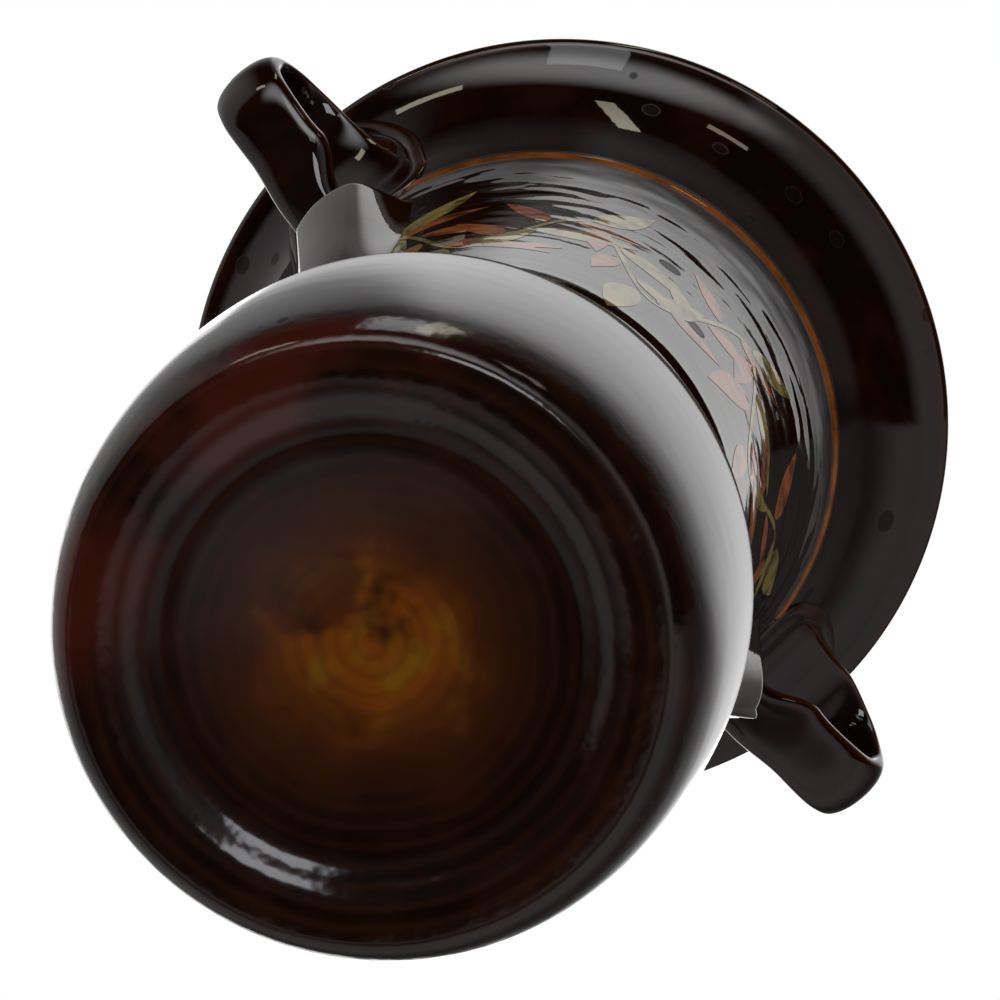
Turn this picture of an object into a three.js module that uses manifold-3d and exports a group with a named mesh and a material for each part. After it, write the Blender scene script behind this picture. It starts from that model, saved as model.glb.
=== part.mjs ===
// Two-handled vase in dark brown glazed pottery, in millimetres, +Z up.
// A potter makes it from nine pieces of clay: a bulb with a turned foot, a neck and a flared rim,
// each with a spigot that drops into the one below, and two strap handles, each with a roll of clay
// round its upper root and a tail of clay thumbed down the neck under its lower root.
// The origin is the centre of the foot on the ground, and the handles stand along X.

import * as THREE from 'three';
import { mergeVertices } from 'three/addons/utils/BufferGeometryUtils.js';
import Module from 'manifold-3d';

const wasm = await Module();
wasm.setup();

// Heights of the three thrown sections
const bulbHeight = 115;
const neckLength = 94;
const rimRise = 35;

// Radii of the outside
const footRadius = 41.2;
const bulgeRadius = 51.4;
const waistRadius = 42.3;
const neckTopRadius = 52.7;
const rimRadius = 72;

// Walls and joints
const bulbWall = 5.6;
const neckWall = 5.2;
const rimWall = 4.4;
const floorThickness = 7;
const spigotDepth = 7;
const lutingGap = 0.3;

// The turned foot: a narrow flat to stand on, round a shallow dished recess
const footFlat = 2.6;
const recessRadius = 29.5;
const recessDepth = 5;
const recessEase = 4.5;

// How the outside swells and draws in
const bulgeHeight = 57;
const heelSwell = 7.2;
const heelRise = 26;
const shoulderHold = 23;
const waistEase = 3.4;
const waistRun = 17;
const neckHold = 30;
const neckFlare = 4.2;
const neckFlareRun = 24;
const flareStart = 5.2;
const flareStartRise = 14;
const flareEndRun = 11.5;
const flareEndRise = 6.4;
const innerCornerRise = 18;
const innerFloorRadius = 26;

// Strap handles: rises are above the seam between neck and rim, reaches are out from the neck's top
const strapWidth = 14.2;
const strapThickness = 4.6;
const strapRoundness = 0.84;
const upperRootWidth = 28;
const upperRootThickness = 17;
const upperWidthRun = 34;
const upperThicknessRun = 24;
const lowerRootWidth = 18;
const lowerRootThickness = 6;
const lowerRootRun = 22;
const upperRootRise = 16;
const shoulderReach = 17.2;
const shoulderRise = 20.2;
const crownReach = 27.2;
const crownRise = 18.8;
const tipReach = 35.4;
const tipRise = 11;
const elbowReach = 30.2;
const elbowRise = 4;
const lowerLegReach = 18.4;
const lowerLegDrop = 1;
const creaseStandoff = 9;
const creaseDrop = 8.4;
const lowerRootDrop = 14.5;
const rootBury = 3;

// Collar of clay round the upper root
const collarBead = 2.6;
const collarSpread = 0.6;

// Tail of clay under the lower root
const tailLength = 50;
const tailTopStandoff = 8.8;
const tailEndStandoff = 1.4;
const tailTopWidth = 18;
const tailEndWidth = 10;
const tailRoundness = 0.5;

// Fineness of the facets
const turnSegments = 48;
const curveSteps = 8;
const strapSteps = 26;
const strapSides = 16;
const collarSteps = 28;
const collarSides = 8;
const tailSteps = 9;
const tailSides = 16;
const weldTolerance = 1e-4;
const searchSteps = 40;

const neckTop = bulbHeight + neckLength;
const lipRadius = rimWall / 2;
const axisZ = new THREE.Vector3(0, 0, 1);
const axisY = new THREE.Vector3(0, 1, 0);

const glaze = { color: 0x2a130b, roughness: 0.08, metalness: 0 };
const thinGlaze = { color: 0x3a1c0e, roughness: 0.08, metalness: 0 };

// Profiles are drawn as radius and height, going up the outside.
function bend(start, leave, arrive, end) {
  const corners = [start, leave, arrive, end].map(([radius, height]) => new THREE.Vector2(radius, height));
  return new THREE.CubicBezierCurve(...corners);
}

const heelCurve = bend(
  [footRadius + footFlat / 2, 0],
  [footRadius + heelSwell, 0],
  [bulgeRadius, heelRise],
  [bulgeRadius, bulgeHeight],
);

const shoulderCurve = bend(
  [bulgeRadius, bulgeHeight],
  [bulgeRadius, bulgeHeight + shoulderHold],
  [waistRadius + waistEase, bulbHeight - waistRun],
  [waistRadius, bulbHeight],
);

const neckCurve = bend(
  [waistRadius, bulbHeight],
  [waistRadius, bulbHeight + neckHold],
  [neckTopRadius - neckFlare, neckTop - neckFlareRun],
  [neckTopRadius, neckTop],
);

// The flare runs into the lip, a half round whose centre lies one lip radius inside the rim's edge and top.
const lipCentre = new THREE.Vector2(rimRadius - lipRadius, neckTop + rimRise - lipRadius);
const flareEndSlope = new THREE.Vector2(flareEndRun, flareEndRise).normalize();
const lipStart = new THREE.Vector2(flareEndSlope.y, -flareEndSlope.x).multiplyScalar(lipRadius).add(lipCentre);

const flareCurve = bend(
  [neckTopRadius, neckTop],
  [neckTopRadius + flareStart, neckTop + flareStartRise],
  [lipStart.x - flareEndRun, lipStart.y - flareEndRise],
  [lipStart.x, lipStart.y],
);

const recessCurve = bend(
  [recessRadius, recessDepth],
  [recessRadius + recessEase, recessDepth],
  [footRadius - footFlat / 2 - recessEase, 0],
  [footRadius - footFlat / 2, 0],
);

// Points of a profile, moved off it by a distance: out of the clay if positive, into it if negative
function traced(curve, distance = 0) {
  const points = [];
  for (let step = 0; step <= curveSteps; step += 1) {
    const at = step / curveSteps;
    const slope = curve.getTangent(at);
    const outward = new THREE.Vector2(slope.y, -slope.x);
    points.push(curve.getPoint(at).addScaledVector(outward, distance));
  }
  return points;
}

// Radius of a rising profile at a height
function radiusAt(curve, height) {
  let low = 0;
  let high = 1;
  for (let step = 0; step < searchSteps; step += 1) {
    const middle = (low + high) / 2;
    if (curve.getPoint(middle).y < height) low = middle;
    else high = middle;
  }
  return curve.getPoint((low + high) / 2).x;
}

function point(radius, height) {
  return new THREE.Vector2(radius, height);
}

// A turned solid from its closed profile
function turned(profile) {
  const geometry = new THREE.LatheGeometry(profile, turnSegments);
  geometry.rotateX(Math.PI / 2);
  return geometry;
}

// Stepped joint: the lower piece has a seat inside its top edge, and the upper piece a spigot that fills it.
function seatOf(radius, wall, height) {
  const seatRadius = radius - wall / 2;
  return [
    point(seatRadius, height),
    point(seatRadius, height - spigotDepth),
    point(radius - wall, height - spigotDepth),
  ];
}

function spigotOf(radius, wall, height) {
  const spigotRadius = radius - wall / 2 - lutingGap;
  return [
    point(radius - wall, height - spigotDepth + lutingGap),
    point(spigotRadius, height - spigotDepth + lutingGap),
    point(spigotRadius, height + lutingGap),
    point(radius, height + lutingGap),
  ];
}

// Bulb: recessed foot, heel, bulge and shoulder outside, a rounded floor inside
function bulb() {
  const floorTop = recessDepth + floorThickness;
  const innerBulge = bulgeRadius - bulbWall;
  const innerHeel = bend(
    [innerFloorRadius, floorTop],
    [innerBulge, floorTop],
    [innerBulge, floorTop + innerCornerRise],
    [innerBulge, bulgeHeight],
  );
  const innerShoulder = traced(shoulderCurve, -bulbWall).filter(({ y }) => y < bulbHeight - spigotDepth);
  const inside = [...traced(innerHeel), ...innerShoulder.slice(1)].reverse();
  return turned([
    point(0, recessDepth),
    ...traced(recessCurve),
    ...traced(heelCurve),
    ...traced(shoulderCurve).slice(1),
    ...seatOf(waistRadius, bulbWall, bulbHeight),
    ...inside,
    point(0, floorTop),
  ]);
}

// Neck: a spigot below, a slow trumpet curve, a seat above
function neck() {
  const outside = traced(neckCurve).slice(1);
  const inside = traced(neckCurve, -neckWall).filter(({ y }) => y > bulbHeight && y < neckTop - spigotDepth);
  const profile = [
    ...spigotOf(waistRadius, bulbWall, bulbHeight),
    ...outside,
    ...seatOf(neckTopRadius, neckWall, neckTop),
    ...inside.reverse(),
  ];
  return turned([...profile, profile[0]]);
}

// Flared rim: a spigot below, the flare, and a lip rounded over between the two faces
function flaredRim() {
  const lipTurn = Math.atan2(lipStart.y - lipCentre.y, lipStart.x - lipCentre.x);
  const lip = [];
  for (let step = 1; step < curveSteps; step += 1) {
    const angle = lipTurn + (Math.PI * step) / curveSteps;
    lip.push(point(lipCentre.x + lipRadius * Math.cos(angle), lipCentre.y + lipRadius * Math.sin(angle)));
  }
  const inside = traced(flareCurve, -rimWall).filter(({ y }) => y > neckTop);
  const profile = [
    ...spigotOf(neckTopRadius, neckWall, neckTop),
    ...traced(flareCurve).slice(1),
    ...lip,
    ...inside.reverse(),
  ];
  return turned([...profile, profile[0]]);
}

// What the handle pieces are cut back from: neck and flare filled solid, grown by the luting gap
function vesselEnvelope() {
  const neckSide = traced(neckCurve, lutingGap);
  const flareSide = traced(flareCurve, lutingGap).slice(1);
  const bottom = neckSide[0].y;
  const top = neckTop + rimRise;
  const flareEnd = flareSide[flareSide.length - 1];
  return turned([point(0, bottom), ...neckSide, ...flareSide, point(flareEnd.x, top), point(0, top)]);
}

// A skin over rings of points, closed by a cap at each end or by joining the last ring to the first
function lofted(rings, endless = false) {
  const sides = rings[0].length;
  const positions = rings.flat().flatMap((corner) => corner.toArray());
  const faces = [];
  const bands = endless ? rings.length : rings.length - 1;
  for (let band = 0; band < bands; band += 1) {
    const near = band * sides;
    const far = ((band + 1) % rings.length) * sides;
    for (let side = 0; side < sides; side += 1) {
      const next = (side + 1) % sides;
      faces.push(near + side, near + next, far + side);
      faces.push(near + next, far + next, far + side);
    }
  }
  if (!endless) {
    const last = (rings.length - 1) * sides;
    for (let side = 1; side < sides - 1; side += 1) {
      faces.push(0, side + 1, side);
      faces.push(last, last + side, last + side + 1);
    }
  }
  const geometry = new THREE.BufferGeometry();
  geometry.setAttribute('position', new THREE.Float32BufferAttribute(positions, 3));
  geometry.setIndex(faces);
  return geometry;
}

// A ring round a centre: an oval where the roundness is one, squarer as it gets smaller
function oval(centre, across, through, halfWidth, halfThickness, sides, roundness = 1) {
  const eased = (share) => Math.sign(share) * Math.abs(share) ** roundness;
  const ring = [];
  for (let side = 0; side < sides; side += 1) {
    const angle = (2 * Math.PI * side) / sides;
    const corner = centre.clone();
    corner.addScaledVector(across, halfWidth * eased(Math.cos(angle)));
    corner.addScaledVector(through, halfThickness * eased(Math.sin(angle)));
    ring.push(corner);
  }
  return ring;
}

const upperRootHeight = neckTop + upperRootRise;
const lowerRootHeight = neckTop - lowerRootDrop;
const creaseHeight = neckTop - creaseDrop;

// Middle line of the strap, from inside the flare's wall round the ear and back into the neck's wall
const strapLine = new THREE.CatmullRomCurve3([
  new THREE.Vector3(radiusAt(flareCurve, upperRootHeight) - rootBury, 0, upperRootHeight),
  new THREE.Vector3(neckTopRadius + shoulderReach, 0, neckTop + shoulderRise),
  new THREE.Vector3(neckTopRadius + crownReach, 0, neckTop + crownRise),
  new THREE.Vector3(neckTopRadius + tipReach - strapThickness / 2, 0, neckTop + tipRise),
  new THREE.Vector3(neckTopRadius + elbowReach, 0, neckTop + elbowRise),
  new THREE.Vector3(neckTopRadius + lowerLegReach, 0, neckTop - lowerLegDrop),
  new THREE.Vector3(radiusAt(neckCurve, creaseHeight) + creaseStandoff, 0, creaseHeight),
  new THREE.Vector3(radiusAt(neckCurve, lowerRootHeight) - rootBury, 0, lowerRootHeight),
], false, 'centripetal');

// How far a size has still to go from its root value to the strap's, at a distance from the root
function rootShare(distance, run) {
  const left = Math.max(0, 1 - distance / run);
  return left * left;
}

function strap(grow = 0) {
  const length = strapLine.getLength();
  const rings = [];
  for (let step = 0; step <= strapSteps; step += 1) {
    const at = step / strapSteps;
    const lower = rootShare((1 - at) * length, lowerRootRun);
    const width = strapWidth
      + rootShare(at * length, upperWidthRun) * (upperRootWidth - strapWidth)
      + lower * (lowerRootWidth - strapWidth);
    const thickness = strapThickness
      + rootShare(at * length, upperThicknessRun) * (upperRootThickness - strapThickness)
      + lower * (lowerRootThickness - strapThickness);
    const through = strapLine.getTangentAt(at).cross(axisY);
    const centre = strapLine.getPointAt(at);
    const halfWidth = width / 2 + grow;
    const halfThickness = thickness / 2 + grow;
    rings.push(oval(centre, axisY, through, halfWidth, halfThickness, strapSides, strapRoundness));
  }
  return lofted(rings);
}

// Collar: a bead laid on the flare round the strap's root
function collar() {
  const halfWidth = upperRootWidth / 2 + collarSpread;
  const halfHeight = upperRootThickness / 2 + collarSpread;
  const onFlare = (turn) => {
    const across = halfWidth * Math.cos(turn);
    const height = upperRootHeight + halfHeight * Math.sin(turn);
    const radius = radiusAt(flareCurve, height);
    return new THREE.Vector3(Math.sqrt(radius * radius - across * across), across, height);
  };
  const rings = [];
  for (let step = 0; step < collarSteps; step += 1) {
    const turn = (2 * Math.PI * step) / collarSteps;
    const stride = Math.PI / collarSteps;
    const centre = onFlare(turn);
    const along = onFlare(turn + stride).sub(onFlare(turn - stride)).normalize();
    const outward = new THREE.Vector3(centre.x, centre.y, 0).normalize();
    const sideways = along.clone().cross(outward).normalize();
    const lifted = sideways.clone().cross(along);
    rings.push(oval(centre, lifted, sideways, collarBead, collarBead, collarSides));
  }
  return lofted(rings, true);
}

// Tail: ovals set half into the neck, narrowing and sinking as they go down it
function tail() {
  const top = lowerRootHeight + lowerRootThickness / 2;
  const rings = [];
  for (let step = 0; step <= tailSteps; step += 1) {
    const down = step / tailSteps;
    const height = top - tailLength * down;
    const standoff = THREE.MathUtils.lerp(tailTopStandoff, tailEndStandoff, down * down);
    const width = THREE.MathUtils.lerp(tailTopWidth, tailEndWidth, down * down);
    const centre = new THREE.Vector3(radiusAt(neckCurve, height), 0, height);
    const outward = new THREE.Vector3(1, 0, 0);
    rings.push(oval(centre, axisY, outward, width / 2, standoff, tailSides, tailRoundness));
  }
  return lofted(rings);
}

// Booleans work on welded triangles with no sliver of zero area.
function toSolid(geometry) {
  const bare = geometry.clone();
  bare.deleteAttribute('normal');
  bare.deleteAttribute('uv');
  const welded = mergeVertices(bare, weldTolerance);
  const corners = welded.index.array;
  const kept = [];
  for (let first = 0; first < corners.length; first += 3) {
    const [a, b, c] = corners.slice(first, first + 3);
    if (a !== b && b !== c && c !== a) kept.push(a, b, c);
  }
  const vertProperties = new Float32Array(welded.attributes.position.array);
  return new wasm.Manifold(new wasm.Mesh({ numProp: 3, vertProperties, triVerts: new Uint32Array(kept) }));
}

function toGeometry(solid) {
  const { vertProperties, triVerts } = solid.getMesh();
  const geometry = new THREE.BufferGeometry();
  geometry.setAttribute('position', new THREE.BufferAttribute(vertProperties, 3));
  geometry.setIndex(new THREE.BufferAttribute(triVerts, 1));
  geometry.computeVertexNormals();
  return geometry;
}

function piece(name, geometry, finish) {
  const mesh = new THREE.Mesh(geometry, new THREE.MeshStandardMaterial(finish));
  mesh.name = name;
  return mesh;
}

// One handle along +X: strap, collar and tail, each cut back from what it is luted to
function handle(side) {
  const envelope = toSolid(vesselEnvelope());
  const grownStrap = toSolid(strap(lutingGap));
  const strapSolid = toSolid(strap()).subtract(envelope);
  const collarSolid = toSolid(collar()).subtract(envelope).subtract(grownStrap);
  const tailSolid = toSolid(tail()).subtract(envelope).subtract(grownStrap);
  const group = new THREE.Group();
  group.add(piece(`${side}_handle`, toGeometry(strapSolid), glaze));
  group.add(piece(`${side}_handle_collar`, toGeometry(collarSolid), glaze));
  group.add(piece(`${side}_handle_tail`, toGeometry(tailSolid), glaze));
  return group;
}

const vase = new THREE.Group();
vase.name = 'two_handled_vase';
vase.add(piece('bulb', bulb(), thinGlaze));
vase.add(piece('neck', neck(), glaze));
vase.add(piece('flared_rim', flaredRim(), glaze));
vase.add(handle('right'));
const leftHandle = handle('left');
leftHandle.rotateOnAxis(axisZ, Math.PI);
vase.add(leftHandle);

export default vase;
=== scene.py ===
import math

import bpy
import bmesh
from mathutils import Matrix, Quaternion, Vector, noise


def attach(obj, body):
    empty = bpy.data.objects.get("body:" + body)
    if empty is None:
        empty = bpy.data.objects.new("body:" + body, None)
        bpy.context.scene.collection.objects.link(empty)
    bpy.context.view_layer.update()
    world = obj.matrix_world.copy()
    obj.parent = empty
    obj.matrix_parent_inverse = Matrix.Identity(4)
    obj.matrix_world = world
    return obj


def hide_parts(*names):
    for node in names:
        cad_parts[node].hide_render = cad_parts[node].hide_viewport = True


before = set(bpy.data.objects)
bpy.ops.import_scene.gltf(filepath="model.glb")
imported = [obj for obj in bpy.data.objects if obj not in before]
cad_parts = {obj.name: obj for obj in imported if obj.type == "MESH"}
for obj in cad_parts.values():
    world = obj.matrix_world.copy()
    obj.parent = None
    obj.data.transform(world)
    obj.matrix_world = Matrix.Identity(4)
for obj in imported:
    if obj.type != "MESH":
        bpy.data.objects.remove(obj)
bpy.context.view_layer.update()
scene = bpy.context.scene
scene.view_settings.view_transform = "Standard"
mm = 0.001  # every size below is written in millimetres
print("frame loaded:", len(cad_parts), "clay pieces")


# camera

cameraSet = {
    "place": (-23.76, -165.98, -687.42),  # under the foot, looking up at the rim
    "forward": (0.028681, 0.195656, 0.980253),
    "up": (-0.757152, -0.635996, 0.149096),
    "lens": 180.0,
    "sensor": 36.0,
}


def placeCamera(setting):
    forward = Vector(setting["forward"]).normalized()
    side = forward.cross(Vector(setting["up"])).normalized()
    upward = side.cross(forward)
    turn = Matrix((side, upward, -forward)).transposed().to_4x4()
    data = bpy.data.cameras.new("photoCamera")
    data.lens = setting["lens"]
    data.sensor_width = setting["sensor"]
    camera = bpy.data.objects.new("photoCamera", data)
    camera.matrix_world = Matrix.Translation(Vector(setting["place"]) * mm) @ turn
    scene.collection.objects.link(camera)
    scene.camera = camera


placeCamera(cameraSet)
print("camera placed")


# profiles and small helpers

def bezierPoints(start, leave, arrive, end, steps):
    points = []
    for i in range(steps + 1):
        t = i / steps
        s = 1 - t
        points.append(tuple(
            s**3 * a + 3 * s * s * t * b + 3 * s * t * t * c + t**3 * d
            for a, b, c, d in zip(start, leave, arrive, end)))
    return points


def smoothStep(low, high, value):  # also falls, where low is the larger
    t = min(1.0, max(0.0, (value - low) / (high - low)))
    return t * t * (3 - 2 * t)


def bell(middle, half, value):
    return math.exp(-((value - middle) / half) ** 2)


def blendTo(a, b, share):
    return a + (b - a) * share


def tableLookup(table, height):  # radius of a rising profile at a height
    if height <= table[0][1]:
        return table[0][0]
    for (r0, z0), (r1, z1) in zip(table, table[1:]):
        if height <= z1:
            return blendTo(r0, r1, (height - z0) / max(z1 - z0, 1e-9))
    return table[-1][0]


def linkObject(name, mesh):
    obj = bpy.data.objects.new(name, mesh)
    scene.collection.objects.link(obj)
    return obj


def finishMesh(name, verts, faces, thin=None, sharpEdges=()):
    mesh = bpy.data.meshes.new(name)
    mesh.from_pydata([(x * mm, y * mm, z * mm) for x, y, z in verts], [], faces)
    mesh.validate()
    if thin is not None:
        layer = mesh.attributes.new("thin", "FLOAT", "POINT")
        layer.data.foreach_set("value", thin)
    build = bmesh.new()
    build.from_mesh(mesh)
    bmesh.ops.recalc_face_normals(build, faces=build.faces)
    build.to_mesh(mesh)
    build.free()
    mesh.polygons.foreach_set("use_smooth", [True] * len(mesh.polygons))
    wanted = {frozenset(pair) for pair in sharpEdges}
    if wanted:
        for edge in mesh.edges:
            if frozenset(edge.vertices) in wanted:
                edge.use_edge_sharp = True
    mesh.update()
    return mesh


# the wheel: slow wobble and finger ripples that all the thrown pieces share

wheelSet = {
    "wobble": 0.12,      # out of round, twice and three times a turn
    "ripple": 0.07,      # finger marks, broken up round the turn
    "dentHeight": 3.6,
    "dentLength": 11.0,
    "inside": 0.3,       # share of the ripple on the inner walls
    "segments": 256,
}


def wheelMark(angle, radius, height, strength):
    out = wheelSet["wobble"] * math.sin(2 * angle + 0.011 * height + 0.6)
    out += 0.5 * wheelSet["wobble"] * math.sin(3 * angle - 0.023 * height + 2.1)
    if strength > 0:
        span = radius / wheelSet["dentLength"]
        spot = Vector((span * math.cos(angle), span * math.sin(angle), height / wheelSet["dentHeight"]))
        out += wheelSet["ripple"] * strength * (noise.noise(spot) + 0.35 * noise.noise(spot * 2.3))
    return out


def turnPiece(name, rows, loop):
    # rows: radius, height, ripple strength, thin glaze, sharp edge there
    segments = wheelSet["segments"]
    verts, thin, ringStart = [], [], []
    for radius, height, strength, bare, _ in rows:
        ringStart.append(len(verts))
        if radius < 1e-6:
            verts.append((0.0, 0.0, height))
            thin.append(bare)
            continue
        fade = smoothStep(6, 30, radius)
        for j in range(segments):
            angle = 2 * math.pi * j / segments
            reach = radius + fade * wheelMark(angle, radius, height, strength)
            verts.append((reach * math.cos(angle), reach * math.sin(angle), height))
            thin.append(bare)
    faces, sharp = [], []
    bands = list(zip(range(len(rows)), range(1, len(rows))))
    if loop:
        bands.append((len(rows) - 1, 0))
    for low, high in bands:
        a, b = ringStart[low], ringStart[high]
        for j in range(segments):
            k = (j + 1) % segments
            if rows[low][0] < 1e-6:
                faces.append((a, b + k, b + j))
            elif rows[high][0] < 1e-6:
                faces.append((a + j, a + k, b))
            else:
                faces.append((a + j, a + k, b + k, b + j))
    for row, start in zip(rows, ringStart):
        if row[4]:
            sharp += [(start + j, start + (j + 1) % segments) for j in range(segments)]
    return linkObject(name, finishMesh(name, verts, faces, thin, sharp))


# bulb with its turned foot

bulbSet = {
    "height": 115, "wall": 5.6, "floor": 8.8,
    "footRadius": 41.2, "footFlat": 2.6, "footEdge": 0.8,
    "recessRadius": 29, "recessDepth": 3.2, "recessEase": 6, "recessDish": 2.0,
    "bulgeRadius": 51, "bulgeHeight": 51, "heelSwell": 6.8, "heelRise": 24,
    "shoulderHold": 11, "waistRadius": 40.7, "waistEase": 3, "waistRun": 20.4,
    "waistFill": 0.75, "waistReach": 6.5, "innerFloorRadius": 26, "innerCornerRise": 18,
    "ripple": 0.25, "rippleStart": 4, "rippleFull": 20, "footThin": 0.02, "recessSteps": 14,
}
neckSet = {
    "length": 94, "topRadius": 52.7, "hold": 30, "ease": 3, "flare": 6.6, "flareRun": 22, "wall": 5.2,
    "ripple": 1.0, "lowRipple": 0.25, "rippleStart": 42, "rippleFull": 14,  # below the seam
    "seamStart": 1.2, "seamFull": 0.2, "seamThin": 0.7,
}
rimSet = {
    "rise": 35, "radius": 72, "wall": 4.4, "flareStart": 5.2, "flareStartRise": 14,
    "flareEndRun": 11.5, "flareEndRise": 6.4, "ledge": 0.45, "ledgeRise": 0.9, "ledgeHalf": 0.6,
    "amberRise": 0.3, "amberHalf": 0.55, "edgeThin": 0.03, "edgeRun": 1.5, "lipThin": 0.04, "lipSteps": 20,
}
neckTop = bulbSet["height"] + neckSet["length"]

heelCurve = bezierPoints(
    (bulbSet["footRadius"] + bulbSet["footFlat"] / 2, 0),
    (bulbSet["footRadius"] + bulbSet["heelSwell"], 0),
    (bulbSet["bulgeRadius"], bulbSet["heelRise"]),
    (bulbSet["bulgeRadius"], bulbSet["bulgeHeight"]), 48)
shoulderCurve = bezierPoints(
    (bulbSet["bulgeRadius"], bulbSet["bulgeHeight"]),
    (bulbSet["bulgeRadius"], bulbSet["bulgeHeight"] + bulbSet["shoulderHold"]),
    (bulbSet["waistRadius"] + bulbSet["waistEase"], bulbSet["height"] - bulbSet["waistRun"]),
    (bulbSet["waistRadius"], bulbSet["height"]), 48)
neckCurve = bezierPoints(
    (bulbSet["waistRadius"], bulbSet["height"]),
    (bulbSet["waistRadius"] + neckSet["ease"], bulbSet["height"] + neckSet["hold"]),
    (neckSet["topRadius"] - neckSet["flare"], neckTop - neckSet["flareRun"]),
    (neckSet["topRadius"], neckTop), 96)


def easedWaist(curve):  # the groove over the bulb is soft, not a corner
    eased = []
    for radius, height in curve:
        near = bell(bulbSet["height"], bulbSet["waistReach"], height)
        eased.append((radius + bulbSet["waistFill"] * near, height))
    return eased


shoulderCurve = easedWaist(shoulderCurve)
neckCurve = easedWaist(neckCurve)


def insideOf(curve, wall):
    inner = []
    for i, (radius, height) in enumerate(curve):
        r0, z0 = curve[max(i - 1, 0)]
        r1, z1 = curve[min(i + 1, len(curve) - 1)]
        run = math.hypot(r1 - r0, z1 - z0)
        inner.append((radius - wall * (z1 - z0) / run, height + wall * (r1 - r0) / run))
    return inner


def bulbRows(setting):
    rows = []
    steps = setting["recessSteps"]
    for i in range(steps + 1):  # dished recess, from the middle out
        radius = setting["recessRadius"] * i / steps
        dish = setting["recessDish"] * math.cos(0.5 * math.pi * i / steps)
        rows.append((radius, setting["recessDepth"] + dish, 0.0, 0.0, False))
    inside = setting["footRadius"] - setting["footFlat"] / 2
    recess = bezierPoints(
        (setting["recessRadius"], setting["recessDepth"]),
        (setting["recessRadius"] + setting["recessEase"], setting["recessDepth"]),
        (inside - setting["recessEase"], 0), (inside, 0), 20)
    rows += [(r, z, 0.0, 0.0, False) for r, z in recess[1:-1]]
    edge, bare = setting["footEdge"], setting["footThin"]  # wiped standing ring
    rows.append((inside + 0.2 * edge, 0, 0.0, bare / 2, False))
    rows.append((setting["footRadius"] - 0.3 * edge, 0, 0.0, bare, False))
    rows.append((setting["footRadius"] + 0.3 * edge, 0, 0.0, bare, False))
    for radius, height in heelCurve:
        rising = smoothStep(setting["rippleStart"], setting["rippleFull"], height)
        rows.append((radius, height, setting["ripple"] * rising, 0.0, False))
    rows += [(r, z, setting["ripple"], 0.0, False) for r, z in shoulderCurve[1:-1]]
    top = shoulderCurve[-1]
    rows.append((top[0], top[1], setting["ripple"], 0.0, True))
    rows.append((top[0] - setting["wall"], top[1], 0.0, 0.0, True))
    inner = insideOf(shoulderCurve, setting["wall"])
    soft = wheelSet["inside"]
    rows += [(r, z, soft, 0.0, False) for r, z in reversed(inner[1:-1]) if z < setting["height"] - 1]
    floorTop = setting["recessDepth"] + setting["floor"]
    innerBulge = setting["bulgeRadius"] - setting["wall"]
    bowl = bezierPoints(
        (setting["innerFloorRadius"], floorTop), (innerBulge, floorTop),
        (innerBulge, floorTop + setting["innerCornerRise"]), (innerBulge, setting["bulgeHeight"]), 24)
    rows += [(r, z, soft, 0.0, False) for r, z in reversed(bowl)]
    rows.append((setting["innerFloorRadius"] / 2, floorTop, 0.0, 0.0, False))
    rows.append((0.0, floorTop, 0.0, 0.0, False))
    return rows


bulb = turnPiece("bulbShell", bulbRows(bulbSet), loop=False)
print("bulb turned:", len(bulb.data.polygons), "faces")


# neck

def neckRows(setting):
    rows = []
    last = len(neckCurve) - 1
    for i, (radius, height) in enumerate(neckCurve):
        rising = smoothStep(neckTop - setting["rippleStart"], neckTop - setting["rippleFull"], height)
        strength = blendTo(setting["lowRipple"], setting["ripple"], rising)
        nearSeam = smoothStep(neckTop - setting["seamStart"], neckTop - setting["seamFull"], height)
        rows.append((radius, height, strength * (1 - nearSeam), setting["seamThin"] * nearSeam, i in (0, last)))
    inner = insideOf(neckCurve, setting["wall"])
    soft = wheelSet["inside"]
    rows += [(r, z, soft, 0.0, i in (0, last)) for i, (r, z) in reversed(list(enumerate(inner)))]
    return rows


neck = turnPiece("neckShell", neckRows(neckSet), loop=True)
print("neck turned:", len(neck.data.polygons), "faces")


# flared rim

lipRadius = rimSet["wall"] / 2
lipCentre = (rimSet["radius"] - lipRadius, neckTop + rimSet["rise"] - lipRadius)
endSlope = Vector((rimSet["flareEndRun"], rimSet["flareEndRise"])).normalized()
lipStart = (lipCentre[0] + endSlope.y * lipRadius, lipCentre[1] - endSlope.x * lipRadius)
flareCurve = bezierPoints(
    (neckSet["topRadius"], neckTop),
    (neckSet["topRadius"] + rimSet["flareStart"], neckTop + rimSet["flareStartRise"]),
    (lipStart[0] - rimSet["flareEndRun"], lipStart[1] - rimSet["flareEndRise"]), lipStart, 72)


def rimRows(setting):
    rows = []
    for i, (radius, height) in enumerate(flareCurve):
        above = height - neckTop
        ledge = setting["ledge"] * bell(setting["ledgeRise"], setting["ledgeHalf"], above)
        amber = bell(setting["amberRise"], setting["amberHalf"], above)
        edge = setting["edgeThin"] * smoothStep(lipStart[0] - setting["edgeRun"], lipStart[0], radius)
        rows.append((radius + ledge, height, 0.0, max(amber, edge), i == 0))
    turn = math.atan2(lipStart[1] - lipCentre[1], lipStart[0] - lipCentre[0])
    for i in range(1, setting["lipSteps"]):
        angle = turn + math.pi * i / setting["lipSteps"]
        radius = lipCentre[0] + lipRadius * math.cos(angle)
        rows.append((radius, lipCentre[1] + lipRadius * math.sin(angle), 0.0, setting["lipThin"], False))
    inner = insideOf(flareCurve, setting["wall"])
    rows += [(r, z, 0.0, 0.0, False) for r, z in reversed(inner) if z > neckTop]
    rows.append((neckSet["topRadius"] - neckSet["wall"], neckTop, 0.0, 0.0, True))
    return rows


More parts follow.
